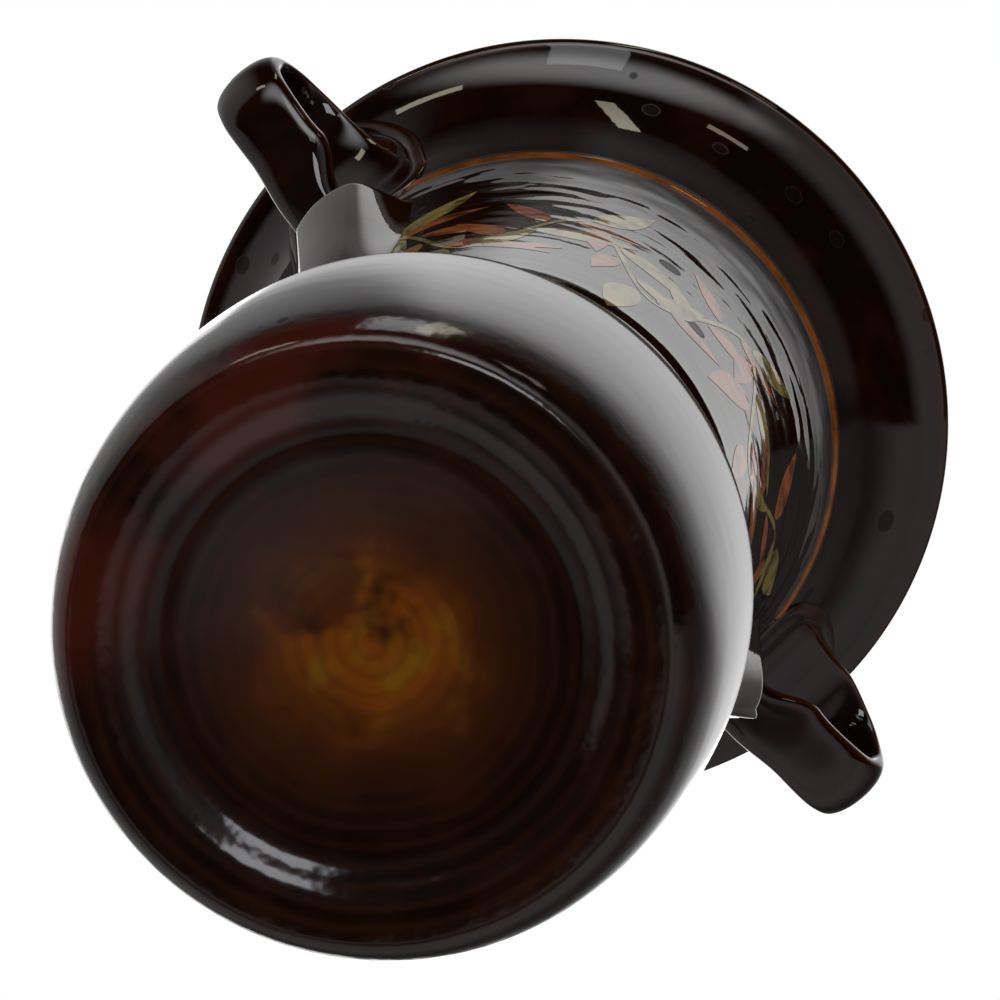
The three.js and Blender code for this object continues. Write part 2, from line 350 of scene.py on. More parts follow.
rim = turnPiece("rimShell", rimRows(rimSet), loop=True)
print("rim turned:", len(rim.data.polygons), "faces")


# strap handles

handleSet = {
    "rootRise": 17, "rootBury": 3,
    "reach": ((17.2, 21.6), (26.8, 20.2), (31.9, 11.5), (28.8, 2.6), (18.6, -2.6)),  # out and up from the seam
    "creaseStandoff": 9.6, "creaseDrop": 5.4, "lowerDrop": 7.0,
    "widths": ((0.0, 20.0), (0.17, 16.4), (0.3, 15.2), (0.42, 15.2),
               (0.55, 14.2), (0.68, 13.8), (0.83, 16.0), (1.0, 18.0)),
    "outDepth": 3.5, "inDepth": 1.5, "rootDepth": 3.6, "rootRun": 24, "roundness": 0.92,
    "pullWave": 0.05, "pullPitch": 0.21, "edgeThin": 0.14, "edgeStart": 0.9,
    "pinch": 0.6, "pinchStart": 0.73, "pinchEnd": 0.86,  # one edge is thumbed in at the fold
    "splayStart": 0.14, "splayEnd": 0.44,  # and stands wider above the loop
    "filletStart": 15.0, "footRise": 15.0, "footUp": 14.4, "footDown": 14.7, "footHalfWidth": 14.8,
    "footUpRound": 0.8, "footDownRound": 0.5, "footBury": 1.2,  # square towards the seam
    "bend": 0.22, "sink": 0.25, "sinkStart": 0.95, "foldThin": 0.05,
    "folds": ((0.45, 0.8, 0.06), (0.2, 0.6, 0.08)),  # height, place and half width of each soft fold
    "probe": 30.0, "probeSteps": 40, "rings": 150, "sides": 64, "filletSteps": 30, "knotSteps": 24,
}


def splinePoints(knots, steps):
    ends = [2 * knots[0] - knots[1]] + list(knots) + [2 * knots[-1] - knots[-2]]
    points = []
    for i in range(1, len(ends) - 2):
        a, b, c, d = ends[i - 1:i + 3]
        for k in range(steps):
            t = k / steps
            points.append(0.5 * (
                2 * b + (c - a) * t + (2 * a - 5 * b + 4 * c - d) * t * t + (3 * b - a - 3 * c + d) * t**3))
    points.append(knots[-1])
    return points


def evenly(points, count):
    gone = [0.0]
    for a, b in zip(points, points[1:]):
        gone.append(gone[-1] + (b - a).length)
    out, k = [], 0
    for i in range(count + 1):
        want = gone[-1] * i / count
        while k < len(points) - 2 and gone[k + 1] < want:
            k += 1
        share = (want - gone[k]) / max(gone[k + 1] - gone[k], 1e-9)
        out.append(points[k].lerp(points[k + 1], share))
    return out, gone[-1]


def softOval(angle, roundness):
    c, s = math.cos(angle), math.sin(angle)
    return math.copysign(abs(c) ** roundness, c), math.copysign(abs(s) ** roundness, s)


def strapLine(setting):
    rootHeight = neckTop + setting["rootRise"]
    creaseHeight = neckTop - setting["creaseDrop"]
    lowerHeight = neckTop - setting["lowerDrop"]
    knots = [Vector((tableLookup(flareCurve, rootHeight) - setting["rootBury"], 0, rootHeight))]
    knots += [Vector((neckSet["topRadius"] + out, 0, neckTop + up)) for out, up in setting["reach"]]
    knots.append(Vector((tableLookup(neckCurve, creaseHeight) + setting["creaseStandoff"], 0, creaseHeight)))
    knots.append(Vector((tableLookup(neckCurve, lowerHeight) - setting["rootBury"], 0, lowerHeight)))
    return evenly(splinePoints(knots, setting["knotSteps"]), setting["rings"])


def easedValue(table, at):
    for (x0, v0), (x1, v1) in zip(table, table[1:]):
        if at <= x1:
            return blendTo(v0, v1, smoothStep(x0, x1, at))
    return table[-1][1]


def onFlare(y, z):
    radius = tableLookup(flareCurve, z)
    return Vector((math.sqrt(max(radius * radius - y * y, 1.0)), y, z))


def flareOut(point):  # outward direction of the flare's underside
    radius = tableLookup(flareCurve, point.z)
    slope = (tableLookup(flareCurve, point.z + 0.5) - radius) / 0.5
    flat = Vector((point.x, point.y, 0)).normalized()
    return Vector((flat.x, flat.y, -slope)).normalized()


def strapRing(setting, line, length, i, side, wider):
    centre = line[i]
    ahead = line[min(i + 1, len(line) - 1)] - line[max(i - 1, 0)]
    ahead.normalize()
    through = ahead.cross(Vector((0, 1, 0)))  # away from the finger loop
    gone = length * i / (len(line) - 1)
    swell = max(0.0, 1 - gone / setting["rootRun"]) ** 2 * setting["rootDepth"]
    share = i / (len(line) - 1)
    width = easedValue(setting["widths"], share)
    pinch = setting["pinch"] * smoothStep(setting["pinchStart"], setting["pinchEnd"], share)
    splay = wider * smoothStep(setting["splayEnd"], setting["splayStart"], share)
    ring, bare = [], []
    for k in range(setting["sides"]):
        c, s = softOval(2 * math.pi * k / setting["sides"], setting["roundness"])
        depth = swell + (setting["outDepth"] if s > 0 else setting["inDepth"])
        wave = setting["pullWave"] * math.sin(gone * setting["pullPitch"] + 2 * c)  # pulled by hand
        half = width / 2 * (1 - pinch) + splay if c * side < 0 else width / 2
        ring.append(centre + Vector((0, 1, 0)) * (c * half) + through * (s * (depth + wave)))
        bare.append(setting["edgeThin"] * smoothStep(setting["edgeStart"], 1.0, abs(c)))
    return ring, bare, ahead


def rootFoot(setting, ring, ahead):
    # where the strap would meet the flare, and the foot of its fillet on the flare
    meets, feet = [], []
    for corner in ring:
        low, high = 0.0, setting["probe"]
        for _ in range(setting["probeSteps"]):
            mid = (low + high) / 2
            probe = corner - ahead * mid
            if math.hypot(probe.x, probe.y) > tableLookup(flareCurve, probe.z):
                low = mid
            else:
                high = mid
        meets.append(corner - ahead * low)
    footZ = neckTop + setting["footRise"]
    for k in range(setting["sides"]):
        angle = 2 * math.pi * k / setting["sides"]
        half = "footUp" if angle < math.pi else "footDown"
        c, s = softOval(angle, setting[half + "Round"])
        feet.append(onFlare(setting["footHalfWidth"] * c, footZ + s * setting[half]))
    return meets, feet


def loftFaces(ringCount, sides, closed):
    faces = []
    bands = ringCount if closed else ringCount - 1
    for i in range(bands):
        a, b = i * sides, ((i + 1) % ringCount) * sides
        for k in range(sides):
            n = (k + 1) % sides
            faces.append((a + k, a + n, b + n, b + k))
    if not closed:
        faces.append(tuple(reversed(range(sides))))
        faces.append(tuple(range((ringCount - 1) * sides, ringCount * sides)))
    return faces


def handlePiece(name, setting, side, wider):
    line, length = strapLine(setting)
    startRing = next(i for i in range(len(line)) if (line[i] - line[0]).length > setting["filletStart"])
    ring, bare, ahead = strapRing(setting, line, length, startRing, side, wider)
    meets, feet = rootFoot(setting, ring, ahead)
    rings = [[foot - flareOut(foot) * setting["footBury"] for foot in feet]]
    thin = [[0.0] * len(feet)]
    for i in range(setting["filletSteps"]):  # trumpet from the flare out to the strap
        t = 1 - i / setting["filletSteps"]
        fold = sum(high * bell(middle, half, t) for high, middle, half in setting["folds"])
        sink = setting["sink"] * smoothStep(setting["sinkStart"], 1.0, t)
        row = []
        for corner, meet, foot in zip(ring, meets, feet):
            bend = meet.lerp(foot, setting["bend"])
            spot = (1 - t) ** 2 * corner + 2 * t * (1 - t) * bend + t * t * foot
            row.append(spot + flareOut(foot) * (fold - sink))
        rings.append(row)
        thin.append([b * (1 - t) + setting["foldThin"] * fold for b in bare])
    for i in range(startRing, len(line)):
        ring, bare, _ = strapRing(setting, line, length, i, side, wider)
        rings.append(ring)
        thin.append(bare)
    verts = [(side * p.x, side * p.y, p.z) for row in rings for p in row]
    faces = loftFaces(len(rings), setting["sides"], closed=False)
    obj = linkObject(name, finishMesh(name, verts, faces, [b for row in thin for b in row]))
    return obj, feet


# collar: the low roll of clay round the root

collarSet = {"halfWidth": 1.7, "height": 0.75, "sides": 14, "thin": 0.04}


def collarPiece(name, setting, feet, side):
    rings = []
    count = len(feet)
    for i, foot in enumerate(feet):
        along = (feet[(i + 1) % count] - feet[i - 1]).normalized()
        lifted = flareOut(foot)
        across = along.cross(lifted).normalized()
        ring = []
        for k in range(setting["sides"]):
            angle = 2 * math.pi * k / setting["sides"]
            reach = across * (setting["halfWidth"] * math.cos(angle))
            ring.append(foot + reach + lifted * (setting["height"] * math.sin(angle)))
        rings.append(ring)
    verts = [(side * p.x, side * p.y, p.z) for row in rings for p in row]
    faces = loftFaces(count, setting["sides"], closed=True)
    return linkObject(name, finishMesh(name, verts, faces, [setting["thin"]] * len(verts)))


# tail: clay thumbed down the neck under the strap

tailSet = {
    "topDrop": 7.0, "length": 62, "standoff": 10.8, "endStandoff": 0.8, "halfWidth": 6.0, "endHalfWidth": 4.0,
    "wallRun": 7.5, "crest": 0.9, "crown": 0.1, "crownEdge": 0.8, "topRound": 6.0, "bury": 1.6, "sink": 0.3,
    "liftPower": 1.5, "widthPower": 1.4, "narrowLift": 0.4, "endFade": 0.9, "thumbWave": 0.06, "thin": 0.03,
    "rows": 90, "columns": 64,
}


def tailPiece(name, setting, side, shift, narrow):
    top = neckTop - setting["topDrop"]
    wallRun = setting["wallRun"] + narrow  # a narrower crown has longer slopes
    rings = []
    for i in range(setting["rows"] + 1):
        v = i / setting["rows"]
        height = top - setting["length"] * v
        radius = tableLookup(neckCurve, height)
        standoff = setting["standoff"] + setting["narrowLift"] * narrow
        lift = blendTo(standoff, setting["endStandoff"], v ** setting["liftPower"])
        rounded = 1 - min(1.0, setting["length"] * v / setting["topRound"])
        lift *= math.sqrt(1 - rounded * rounded) * smoothStep(1.0, setting["endFade"], v)
        half = blendTo(setting["halfWidth"], setting["endHalfWidth"], v ** setting["widthPower"])
        half = max(setting["crest"], half - narrow)
        outer, inner = [], []
        for k in range(setting["columns"] + 1):
            y = (half + wallRun) * (2 * k / setting["columns"] - 1)
            edge = smoothStep(half + wallRun, half - setting["crownEdge"], abs(y))
            crown = edge * (1 - setting["crown"] * min(1.0, abs(y) / half) ** 2)
            angle = (y + shift) / radius
            wave = setting["thumbWave"] * math.sin(height * 0.2 + y * 0.3)
            reach = radius + (lift + wave) * crown - setting["sink"]
            outer.append((reach * math.cos(angle), reach * math.sin(angle), height))
            deep = radius - setting["bury"]
            inner.append((deep * math.cos(angle), deep * math.sin(angle), height))
        rings.append(outer + inner[::-1])
    verts = [(side * x, side * y, z) for row in rings for x, y, z in row]
    faces = loftFaces(len(rings), len(rings[0]), closed=False)
    return linkObject(name, finishMesh(name, verts, faces, [setting["thin"]] * len(verts)))


earSet = (  # no two are pulled alike: side, wider upper arm, shift and narrowing of the tail
    ("right", 1, 3.6, 0.8, 5.2),
    ("left", -1, 0.0, 0.0, 0.0),
)
ears = []
for sideName, side, wider, shift, narrow in earSet:
    strap, feet = handlePiece(sideName + "Strap", handleSet, side, wider)
    collar = collarPiece(sideName + "Collar", collarSet, feet, side)
    tail = tailPiece(sideName + "Tail", tailSet, side, shift, narrow)
    strap.visible_glossy = False  # mirrored, it would hide the light on its own tail
    ears.append((sideName, strap, collar, tail))
print("handles pulled:", ", ".join(ear[0] for ear in ears))


# shader helpers

def newNode(tree, kind, **values):
    node = tree.nodes.new(kind)
    for key, value in values.items():
        setattr(node, key, value)
    return node


def join(tree, source, target):  # the source is a socket or a plain value
    if isinstance(source, bpy.types.NodeSocket):
        tree.links.new(source, target)
    else:
        target.default_value = source


def mathNode(tree, operation, first, second=None, third=None, clamp=False):
    node = newNode(tree, "ShaderNodeMath", operation=operation, use_clamp=clamp)
    for index, value in enumerate((first, second, third)):
        if value is not None:
            join(tree, value, node.inputs[index])
    return node.outputs[0]


def times(tree, first, second):
    return mathNode(tree, "MULTIPLY", first, second)


def vectorMath(tree, operation, first, second=None, output="Value"):
    node = newNode(tree, "ShaderNodeVectorMath", operation=operation)
    join(tree, first, node.inputs[0])
    if second is not None:
        join(tree, second, node.inputs[1])
    return node.outputs[output]


def alongAxis(tree, vector, axis):
    return vectorMath(tree, "DOT_PRODUCT", vector, axis)


def mixColours(tree, share, first, second):
    node = newNode(tree, "ShaderNodeMix", data_type="RGBA")
    for index, value in ((0, share), (6, first), (7, second)):
        join(tree, value, node.inputs[index])
    return node.outputs[2]


def mapRange(tree, value, low, high, toLow=0.0, toHigh=1.0):
    node = newNode(tree, "ShaderNodeMapRange", interpolation_type="SMOOTHSTEP")
    ends = (("Value", value), ("From Min", low), ("From Max", high), ("To Min", toLow), ("To Max", toHigh))
    for key, end in ends:
        join(tree, end, node.inputs[key])
    return node.outputs["Result"]


def noiseNode(tree, vector, scale, detail, seedShift=0.0):
    node = newNode(tree, "ShaderNodeTexNoise", noise_dimensions="4D")
    for key, value in (("Vector", vector), ("W", seedShift), ("Scale", scale), ("Detail", detail)):
        join(tree, value, node.inputs[key])
    return node.outputs["Fac"]


def newGroup(name, inputs, outputs):
    group = bpy.data.node_groups.new(name, "ShaderNodeTree")
    for label, kind, value in inputs:
        socket = group.interface.new_socket(name=label, in_out="INPUT", socket_type=kind)
        if value is not None:
            socket.default_value = value
    for label, kind in outputs:
        group.interface.new_socket(name=label, in_out="OUTPUT", socket_type=kind)
    return group, newNode(group, "NodeGroupInput"), newNode(group, "NodeGroupOutput")


def glazeSkinGroup():  # the ripple of a melted glaze, as a height and as a colour drift
    group, given, result = newGroup(
        "glazeSkin",
        [("Vector", "NodeSocketVector", None), ("Wave Scale", "NodeSocketFloat", 55.0),
         ("Peel Scale", "NodeSocketFloat", 420.0), ("Peel Share", "NodeSocketFloat", 0.12)],
        [("Height", "NodeSocketFloat"), ("Drift", "NodeSocketFloat")])
    ripples = []
    for scaleKey in ("Wave Scale", "Peel Scale"):
        node = newNode(group, "ShaderNodeTexNoise")
        join(group, given.outputs["Vector"], node.inputs["Vector"])
        join(group, given.outputs[scaleKey], node.inputs["Scale"])
        node.inputs["Detail"].default_value = 1.0
        ripples.append(node.outputs["Fac"])
    fine = times(group, ripples[1], given.outputs["Peel Share"])
    join(group, mathNode(group, "ADD", ripples[0], fine), result.inputs["Height"])
    drift = noiseNode(group, given.outputs["Vector"], 90.0, 4.0, 3.7)
    join(group, mapRange(group, drift, 0.42, 0.68), result.inputs["Drift"])
    return group


def driedDropsGroup():  # a few rings left by dried water drops
    group, given, result = newGroup(
        "driedDrops",
        [("Vector", "NodeSocketVector", None), ("Scale", "NodeSocketFloat", 90.0),
         ("Kept", "NodeSocketFloat", 0.3)],
        [("Film", "NodeSocketFloat"), ("Ring", "NodeSocketFloat")])
    cells = newNode(group, "ShaderNodeTexVoronoi", feature="F1")
    join(group, given.outputs["Vector"], cells.inputs["Vector"])
    join(group, given.outputs["Scale"], cells.inputs["Scale"])
    pick = newNode(group, "ShaderNodeSeparateColor")
    join(group, cells.outputs["Color"], pick.inputs[0])
    kept = mathNode(group, "LESS_THAN", pick.outputs[0], given.outputs["Kept"])
    size = mathNode(group, "MULTIPLY_ADD", pick.outputs[1], 0.09, 0.13)
    share = mathNode(group, "DIVIDE", cells.outputs["Distance"], size)
    film = mapRange(group, share, 1.0, 0.9)
    ring = times(group, mapRange(group, share, 1.12, 1.0), mapRange(group, share, 0.86, 0.97))
    join(group, times(group, film, kept), result.inputs["Film"])
    join(group, times(group, ring, kept), result.inputs["Ring"])
    return group


glazeSkin = glazeSkinGroup()
driedDrops = driedDropsGroup()


def useGroup(tree, group, vector, **values):
    node = newNode(tree, "ShaderNodeGroup", node_tree=group)
    join(tree, vector, node.inputs["Vector"])
    for key, value in values.items():
        node.inputs[key.replace("_", " ")].default_value = value
    return node


def startMaterial(name):
    material = bpy.data.materials.new(name)
    material.use_nodes = True
    tree = material.node_tree
    shader = tree.nodes["Principled BSDF"]
    place = newNode(tree, "ShaderNodeTexCoord").outputs["Object"]
    return material, tree, shader, place


# glazes

darkGlazeSet = {
    "dark": (0.0042, 0.0012, 0.0006, 1), "drift": (0.0095, 0.0026, 0.0011, 1), "thin": (0.21, 0.058, 0.008, 1),
    "ior": 1.58, "roughness": 0.035, "bump": 0.07, "bumpReach": 0.0009, "specular": 0.5,
    "filmDull": -0.3, "filmRough": 0.2, "ringRough": 0.3,
}
baseGlazeSet = {
    "amber": (0.115, 0.028, 0.001, 1), "honey": (0.12, 0.05, 0.002, 1), "brown": (0.03, 0.007, 0.0015, 1),
    # the red-brown tone on the foot and its zones are painted light: window light laid in as colour on one side
    # of the foot slope
    "redBrown": (0.035, 0.005, 0.002, 1), "roughness": 0.14, "dropsKept": 0.05, "footLumps": 0.6,
    "cloud": (85.0, 5.0, 7.3), "wander": 0.016, "amberZone": (0.0185, 0.0065), "brownZone": (0.031, 0.014),
    "blotch": (-0.0126, -0.0005, 0.005), "blotchWander": 0.03, "blotchZone": (0.009, 0.004, 0.0, 0.8),
    "ringTurns": 2300.0, "ringWander": 5.0, "ringZone": (-0.4, 1.0, 0.0, 0.2), "underZone": (0.0095, 0.0055),
    "honeyZone": (120.0, 4.0, 2.2, 0.5, 0.66), "poolZone": (75.0, 3.0, 4.4, 0.5, 0.64),
    "litPatchZone": (60.0, 3.0, 5.1, 0.36, 0.56), "litPatchUnder": (0.008, 0.003), "litPatchSide": (-0.018, -0.030),
    "footZone": (0.030, 0.034), "footUnder": (0.012, 0.004),
}


def glazeCoat(name, setting, dropsKept):
    material, tree, shader, place = startMaterial(name)
    skin = useGroup(tree, glazeSkin, place, Wave_Scale=55.0)
    drops = useGroup(tree, driedDrops, place, Kept=dropsKept)
    thin = newNode(tree, "ShaderNodeAttribute", attribute_name="thin").outputs["Fac"]
    patchy = noiseNode(tree, place, 160.0, 3.0, 1.9)
    bare = mathNode(tree, "MULTIPLY", thin, mapRange(tree, patchy, 0.3, 0.62, 0.35, 1.0), clamp=True)
    colour = mixColours(tree, skin.outputs["Drift"], setting["dark"], setting["drift"])
    colour = mixColours(tree, bare, colour, setting["thin"])
    film, ring = drops.outputs["Film"], drops.outputs["Ring"]
    rough = mathNode(tree, "MULTIPLY_ADD", ring, setting["ringRough"], setting["roughness"])
    rough = mathNode(tree, "MULTIPLY_ADD", film, setting["filmRough"], rough)
    dull = mathNode(tree, "MULTIPLY_ADD", film, setting["filmDull"], setting["specular"])
    join(tree, dull, shader.inputs["Specular IOR Level"])
    bump = newNode(tree, "ShaderNodeBump")
    bump.inputs["Strength"].default_value = setting["bump"]
    bump.inputs["Distance"].default_value = setting["bumpReach"]
    join(tree, skin.outputs["Height"], bump.inputs["Height"])
    join(tree, bump.outputs["Normal"], shader.inputs["Normal"])
    join(tree, rough, shader.inputs["Roughness"])
    shader.inputs["IOR"].default_value = setting["ior"]
    return material, tree, shader, place, colour, bump


def darkGlaze(name, dropsKept):
    material, tree, shader, place, colour, _ = glazeCoat(name, darkGlazeSet, dropsKept)
    join(tree, colour, shader.inputs["Base Color"])
    return material


def bulbGlaze(setting):
    coat = dict(darkGlazeSet, roughness=setting["roughness"])
    material, tree, shader, place, colour, bump = glazeCoat("bulbGlaze", coat, setting["dropsKept"])
    parts = newNode(tree, "ShaderNodeSeparateXYZ")
    join(tree, place, parts.inputs[0])
    side, height = parts.outputs[0], parts.outputs[2]
    flat = vectorMath(tree, "LENGTH", vectorMath(tree, "MULTIPLY", place, (1, 1, 0), "Vector"))
    gap = vectorMath(tree, "DISTANCE", place, setting["blotch"])
    cloud = noiseNode(tree, place, *setting["cloud"])

    def zone(value, key):
        return mapRange(tree, value, *setting[key])

    def clouded(value, amount):  # a distance with a wandering edge
        return mathNode(tree, "MULTIPLY_ADD", cloud, amount, mathNode(tree, "SUBTRACT", value, amount / 2))

    def speckled(key):
        scale, detail, seedShift, low, high = setting[key]
        return mapRange(tree, noiseNode(tree, place, scale, detail, seedShift), low, high)

    wander = clouded(flat, setting["wander"])
    amber, brown = zone(wander, "amberZone"), zone(wander, "brownZone")
    honey = times(tree, speckled("honeyZone"), amber)
    pool = times(tree, speckled("poolZone"), amber)  # thick glaze
    blotch = zone(clouded(gap, setting["blotchWander"]), "blotchZone")
    turns = mathNode(tree, "MULTIPLY_ADD", flat, setting["ringTurns"], times(tree, cloud, setting["ringWander"]))
    rings = zone(mathNode(tree, "SINE", turns), "ringZone")  # throwing rings
    under = zone(height, "underZone")
    for share, key in ((brown, "brown"), (amber, "amber"), (honey, "honey"), (rings, "brown"), (blotch, "brown")):
        colour = mixColours(tree, times(tree, share, under), colour, setting[key])
    colour = mixColours(tree, times(tree, pool, under), colour, darkGlazeSet["drift"])
    # painted light: a red-brown lit patch on the window side (-X) of the foot slope under the base, where window
    # light falls
    redBrown = speckled("litPatchZone")
    for value, key in ((flat, "footZone"), (height, "litPatchUnder"), (side, "litPatchSide")):
        redBrown = times(tree, redBrown, zone(value, key))
    colour = mixColours(tree, redBrown, colour, setting["redBrown"])
    foot = times(tree, zone(flat, "footZone"), zone(height, "footUnder"))  # the glaze gathers there
    lumpy = mathNode(tree, "MULTIPLY_ADD", foot, setting["footLumps"], darkGlazeSet["bump"])
    join(tree, lumpy, bump.inputs["Strength"])
    join(tree, colour, shader.inputs["Base Color"])
    return material


rimGlaze = darkGlaze("rimGlaze", 0.85)
neckGlaze = darkGlaze("neckGlaze", 0.06)
strapGlaze = darkGlaze("strapGlaze", 0.0)
footGlaze = bulbGlaze(baseGlazeSet)

for obj, material in ((bulb, footGlaze), (neck, neckGlaze), (rim, rimGlaze)):
    obj.data.materials.append(material)
for _, strap, collar, tail in ears:
    for obj in (strap, collar, tail):
        obj.data.materials.append(strapGlaze)
print("glazes mixed")


# slip painted round the neck: a waved line with a brush dab on either side by turns

bandSet = {
    "Height": 0.157, "Wave": 0.015, "Waves": 8, "Dabs": 96, "Dab Length": 0.021, "Line Width": 0.0011,
    "Lift": 0.00005, "Seed": 7, "radius": 0.047, "lean": 0.8, "plump": 0.3, "belly": 0.7, "curl": 0.14,
    "stem": 0.08, "turns": (-0.2, 0.2), "sizes": (0.7, 1.15), "lineSteps": 480, "lineTint": 0.8, "castFrom": 0.2,
    "redBrown": (0.27, 0.075, 0.022, 1), "straw": (0.23, 0.18, 0.055, 1),
}


def slipGlaze(setting):
    material, tree, shader, place, colour, _ = glazeCoat("slipGlaze", darkGlazeSet, 0.0)
    tint = newNode(tree, "ShaderNodeAttribute", attribute_name="tint").outputs["Fac"]
    slip = mixColours(tree, mapRange(tree, tint, 0.35, 0.65), setting["redBrown"], setting["straw"])
    brushed = mapRange(tree, noiseNode(tree, place, 260.0, 4.0, 6.2), 0.3, 0.6, 0.15, 0.85)
    join(tree, mixColours(tree, brushed, colour, slip), shader.inputs["Base Color"])
    return material


def combined(tree, x, y=0.0, z=0.0):
    node = newNode(tree, "ShaderNodeCombineXYZ")
    for index, value in enumerate((x, y, z)):
        join(tree, value, node.inputs[index])
    return node.outputs[0]


def geometryNode(tree, kind, links, **values):
    node = newNode(tree, "GeometryNode" + kind, **values)
    for key, value in links.items():
        join(tree, value, next(entry for entry in node.inputs if entry.name == key and entry.enabled))
    return node.outputs[0]


def randomBetween(tree, low, high, seed, shift):
    node = newNode(tree, "FunctionNodeRandomValue", data_type="FLOAT")
    node.inputs[2].default_value = low
    node.inputs[3].default_value = high
    join(tree, mathNode(tree, "ADD", seed, shift), node.inputs["Seed"])
    return node.outputs[1]


def bandTree(setting):
    tree = bpy.data.node_groups.new("slipBand", "GeometryNodeTree")
    keys = {}
    for label, kind in (("Neck", "Object"), ("Slip", "Material"), ("Height", "Float"), ("Wave", "Float"),
                        ("Waves", "Int"), ("Dabs", "Int"), ("Dab Length", "Float"), ("Line Width", "Float"),
                        ("Lift", "Float"), ("Seed", "Int")):
        socket = tree.interface.new_socket(name=label, in_out="INPUT", socket_type="NodeSocket" + kind)
        keys[label] = socket.identifier
    tree.interface.new_socket(name="Geometry", in_out="OUTPUT", socket_type="NodeSocketGeometry")
    given = newNode(tree, "NodeGroupInput").outputs
    around = 2 * math.pi * setting["radius"]
    spot = newNode(tree, "ShaderNodeSeparateXYZ")
    join(tree, newNode(tree, "GeometryNodeInputPosition").outputs[0], spot.inputs[0])
    x, y = spot.outputs[0], spot.outputs[1]

    pitch = times(tree, given["Waves"], 1 / setting["radius"])  # the band is laid out flat first
    phase = times(tree, x, pitch)
    wave = mathNode(tree, "MULTIPLY_ADD", mathNode(tree, "SINE", phase), given["Wave"], given["Height"])
    waved = combined(tree, x, wave)
    slope = times(tree, mathNode(tree, "COSINE", phase), times(tree, given["Wave"], pitch))

    length = mathNode(tree, "ADD", x, 0.5)  # one dab: a plump comma from nought to one along X
    swell = times(tree, mathNode(tree, "POWER", length, setting["belly"]), math.pi)
    across = times(tree, times(tree, y, mathNode(tree, "SINE", swell)), setting["plump"])
    curl = times(tree, mathNode(tree, "POWER", length, 2.0), setting["curl"])
    along = mathNode(tree, "MULTIPLY_ADD", length, 1 - setting["stem"], setting["stem"])
    dab = geometryNode(tree, "MeshGrid", {
        "Size X": 1.0, "Size Y": 1.0, "Vertices X": 15, "Vertices Y": 7})
    dab = geometryNode(tree, "SetPosition", {
        "Geometry": dab, "Position": combined(tree, along, mathNode(tree, "ADD", across, curl))})

    step = combined(tree, mathNode(tree, "DIVIDE", around, given["Dabs"]))
    dots = geometryNode(tree, "MeshLine", {"Count": given["Dabs"], "Offset": step}, mode="OFFSET")
    dots = geometryNode(tree, "SetPosition", {"Geometry": dots, "Position": waved})
    turn = mathNode(tree, "MODULO", newNode(tree, "GeometryNodeInputIndex").outputs[0], 2.0)
    turn = mathNode(tree, "MULTIPLY_ADD", turn, 2 * setting["lean"], -setting["lean"])
    turn = mathNode(tree, "ADD", turn, mathNode(tree, "ARCTANGENT", slope))
    turn = mathNode(tree, "ADD", turn, randomBetween(tree, *setting["turns"], given["Seed"], 0))
    size = times(tree, given["Dab Length"], randomBetween(tree, *setting["sizes"], given["Seed"], 1))
    dabs = geometryNode(tree, "InstanceOnPoints", {
        "Points": dots, "Instance": dab, "Rotation": combined(tree, 0.0, 0.0, turn), "Scale": size})
    tint = randomBetween(tree, 0.0, 1.0, given["Seed"], 2)
    dabs = geometryNode(tree, "StoreNamedAttribute", {
        "Geometry": dabs, "Name": "tint", "Value": tint}, data_type="FLOAT", domain="INSTANCE")

    steps = setting["lineSteps"]
    line = geometryNode(tree, "MeshLine", {
        "Count": steps + 1, "Offset": (around / steps, 0, 0)}, mode="OFFSET")
    line = geometryNode(tree, "SetPosition", {"Geometry": line, "Position": waved})
    line = geometryNode(tree, "MeshToCurve", {"Mesh": line})
    line = geometryNode(tree, "SetCurveNormal", {"Curve": line}, mode="Z_UP")
    half = times(tree, given["Line Width"], 0.5)
    edge = geometryNode(tree, "CurvePrimitiveLine", {
        "Start": combined(tree, times(tree, half, -1.0)), "End": combined(tree, half)})
    line = geometryNode(tree, "CurveToMesh", {"Curve": line, "Profile Curve": edge})
    line = geometryNode(tree, "StoreNamedAttribute", {
        "Geometry": line, "Name": "tint", "Value": setting["lineTint"]}, data_type="FLOAT", domain="POINT")

    both = newNode(tree, "GeometryNodeJoinGeometry")
    for part in (dabs, line):
        join(tree, part, both.inputs[0])
    flat = geometryNode(tree, "RealizeInstances", {"Geometry": both.outputs[0]})
    angle = mathNode(tree, "DIVIDE", x, setting["radius"])  # then it is wrapped and cast on to the clay
    cosine, sine = mathNode(tree, "COSINE", angle), mathNode(tree, "SINE", angle)
    cast = newNode(tree, "GeometryNodeRaycast")
    shell = newNode(tree, "GeometryNodeObjectInfo")
    join(tree, given["Neck"], shell.inputs["Object"])
    join(tree, shell.outputs["Geometry"], cast.inputs["Target Geometry"])
    start = [times(tree, value, setting["castFrom"]) for value in (cosine, sine)]
    join(tree, combined(tree, *start, y), cast.inputs["Source Position"])
    inward = [times(tree, value, -1.0) for value in (cosine, sine)]
    join(tree, combined(tree, *inward), cast.inputs["Ray Direction"])
    cast.inputs["Ray Length"].default_value = setting["castFrom"]
    raised = newNode(tree, "ShaderNodeVectorMath", operation="SCALE")
    join(tree, cast.outputs["Hit Normal"], raised.inputs[0])
    join(tree, given["Lift"], raised.inputs["Scale"])
    onClay = vectorMath(tree, "ADD", cast.outputs["Hit Position"], raised.outputs[0], "Vector")
    laid = geometryNode(tree, "SetPosition", {
        "Geometry": flat, "Position": onClay, "Selection": cast.outputs["Is Hit"]})
    laid = geometryNode(tree, "SetShadeSmooth", {"Geometry": laid})
    laid = geometryNode(tree, "RealizeInstances", {"Geometry": laid})
    laid = geometryNode(tree, "SetMaterial", {"Geometry": laid, "Material": given["Slip"]})
    join(tree, laid, newNode(tree, "NodeGroupOutput").inputs["Geometry"])
    return tree, keys


